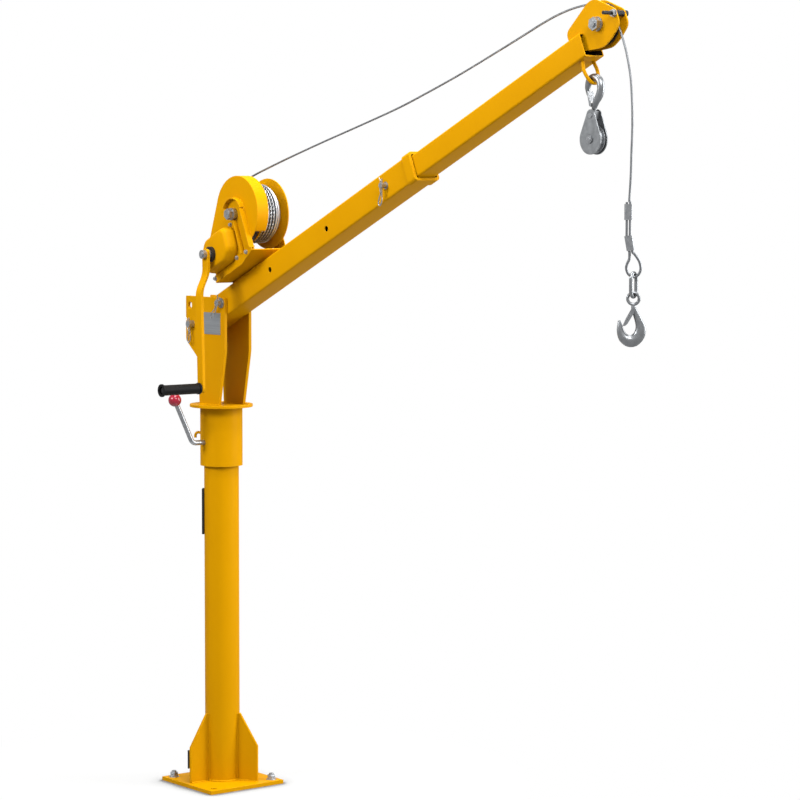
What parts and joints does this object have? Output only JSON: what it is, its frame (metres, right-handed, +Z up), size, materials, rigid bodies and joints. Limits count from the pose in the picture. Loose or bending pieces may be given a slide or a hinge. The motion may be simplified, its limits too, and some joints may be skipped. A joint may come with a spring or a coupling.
{
  "type": "jib crane",
  "caption": "Bolt-down swivel jib crane: round post, tilting two-part square boom, geared hand brake winch with crank, wire rope over a head sheave, load hook and snatch block.",
  "frame": {"origin": "centre of the base plate's underside, on the ground", "axes": "+Z up along the post, +X the way the boom reaches at rest, the winch crank on the -Y side"},
  "size_m": [1.663, 0.3745, 1.9411],
  "materials": {
    "yellow_paint": "satin powder coat",
    "zinc_plated_steel": "bright zinc plating",
    "galvanised_steel": "dull galvanised",
    "wire_rope": "stranded",
    "black_plastic": "matte",
    "black_rubber": "matte",
    "black_iron": "dark oiled",
    "red_plastic": "gloss",
    "blank_plate": "satin"
  },
  "bodies": {
    "post": {"base_plate": "yellow_paint", "post_tube": "yellow_paint", "gussets": "yellow_paint", "thrust_pad": "black_plastic"},
    "swivel_head": {"sleeve": "yellow_paint", "sleeve_bushes": "black_plastic", "swivel_flange": "yellow_paint", "yoke_plate_left": "yellow_paint", "yoke_plate_right": "yellow_paint", "pivot_pin": "zinc_plated_steel", "angle_pin": "zinc_plated_steel", "pin_clips": "zinc_plated_steel", "rating_plate": "blank_plate", "parking_hook": "yellow_paint"},
    "clamp_lever": {"clamp_screw": "zinc_plated_steel", "clamp_arm": "zinc_plated_steel", "clamp_knob": "red_plastic"},
    "boom": {"outer_boom": "yellow_paint", "boom_collar": "yellow_paint", "mouth_pads": "black_plastic", "extension_pin": "zinc_plated_steel", "extension_clip": "zinc_plated_steel", "winch_mount_plate": "yellow_paint", "winch_tray": "yellow_paint", "winch_side_plate": "yellow_paint", "winch_near_upright": "yellow_paint", "winch_far_upright": "yellow_paint", "gear_cover": "yellow_paint", "brake_housing": "yellow_paint", "crank_bush": "black_plastic", "drum_shaft": "zinc_plated_steel"},
    "winch_drum": {"drum": "yellow_paint", "drum_gear": "black_iron", "rope_winding": "wire_rope"},
    "crank": {"crank_arm": "yellow_paint", "crank_shaft": "zinc_plated_steel"},
    "crank_handle": {"crank_grip": "black_rubber"},
    "boom_extension": {"inner_boom": "yellow_paint", "tail_pads": "black_plastic", "head_cheek_left": "yellow_paint", "head_cheek_right": "yellow_paint", "head_axle": "zinc_plated_steel", "keeper_bolt": "black_iron", "keeper_nut": "zinc_plated_steel", "block_loop": "yellow_paint", "hoist_rope": "wire_rope", "upper_ferrule": "zinc_plated_steel", "rope_strands": "wire_rope", "lower_ferrule": "zinc_plated_steel", "rope_eye": "wire_rope"},
    "head_wheel": {"head_sheave": "black_iron"},
    "block_hanger": {"block_hook": "galvanised_steel"},
    "block_catch": {"block_latch": "zinc_plated_steel"},
    "block_frame": {"block_plates": "galvanised_steel", "block_pins": "zinc_plated_steel"},
    "block_wheel": {"block_sheave": "zinc_plated_steel"},
    "link": {"hook_link": "galvanised_steel"},
    "hook": {"load_hook": "galvanised_steel"},
    "hook_catch": {"hook_latch": "zinc_plated_steel"}
  },
  "joints": [
    {"name": "head_swivel", "type": "hinge", "parent": "post", "child": "swivel_head", "pos_m": [0, 0, 0.8983], "axis": [0, 0, 1], "continuous": true},
    {"name": "clamp_turn", "type": "hinge", "parent": "swivel_head", "child": "clamp_lever", "pos_m": [0, -0.054, 0.8843], "axis": [0, -1, 0], "continuous": true},
    {"name": "boom_raise", "type": "hinge", "parent": "swivel_head", "child": "boom", "pos_m": [0.062, 0, 1.2413], "axis": [0, -1, 0], "range_deg": [-20, 20]},
    {"name": "drum_turn", "type": "hinge", "parent": "boom", "child": "winch_drum", "pos_m": [0.15886, 0, 1.46662], "axis": [0, -1, 0], "continuous": true},
    {"name": "crank_turn", "type": "hinge", "parent": "boom", "child": "crank", "pos_m": [0.1097, -0.12, 1.36652], "axis": [0, -1, 0], "continuous": true},
    {"name": "grip_turn", "type": "hinge", "parent": "crank", "child": "crank_handle", "pos_m": [0.12015, -0.209, 1.03369], "axis": [0, -1, 0], "continuous": true},
    {"name": "boom_extend", "type": "slide", "parent": "boom", "child": "boom_extension", "axis": [0.9114, 0, 0.4115], "range_m": [-0.512, 0], "deforming": ["hoist_rope"]},
    {"name": "sheave_turn", "type": "hinge", "parent": "boom_extension", "child": "head_wheel", "pos_m": [1.43791, 0, 1.88888], "axis": [0, -1, 0], "continuous": true},
    {"name": "block_swing", "type": "hinge", "parent": "boom_extension", "child": "block_hanger", "pos_m": [1.4124, 0, 1.76435], "axis": [0, -1, 0], "range_deg": [-35, 35]},
    {"name": "block_latch_open", "type": "hinge", "parent": "block_hanger", "child": "block_catch", "pos_m": [1.4084, 0, 1.71785], "axis": [0, 1, 0], "range_deg": [0, 20], "stiffness_Nm_per_rad": 0.03},
    {"name": "block_turn", "type": "hinge", "parent": "block_hanger", "child": "block_frame", "pos_m": [1.4124, 0, 1.69585], "axis": [0, 0, 1], "continuous": true},
    {"name": "block_wheel_turn", "type": "hinge", "parent": "block_frame", "child": "block_wheel", "pos_m": [1.4114, 0, 1.64455], "axis": [0, -1, 0], "continuous": true},
    {"name": "link_swing", "type": "hinge", "parent": "boom_extension", "child": "link", "pos_m": [1.53063, 0.00919, 1.35228], "axis": [0.6428, 0.766, 0], "range_deg": [-40, 40]},
    {"name": "hook_swing", "type": "hinge", "parent": "link", "child": "hook", "pos_m": [1.53063, 0.00919, 1.31028], "axis": [-0.3746, 0.9272, 0], "range_deg": [-35, 35]},
    {"name": "hook_latch_open", "type": "hinge", "parent": "hook", "child": "hook_catch", "pos_m": [1.53063, 0.00919, 1.28428], "axis": [0.766, -0.6428, 0], "range_deg": [0, 25], "stiffness_Nm_per_rad": 0.03}
  ],
  "couplings": [
    {"joint": "crank_turn", "follows": "drum_turn", "ratio": -3.4667}
  ]
}
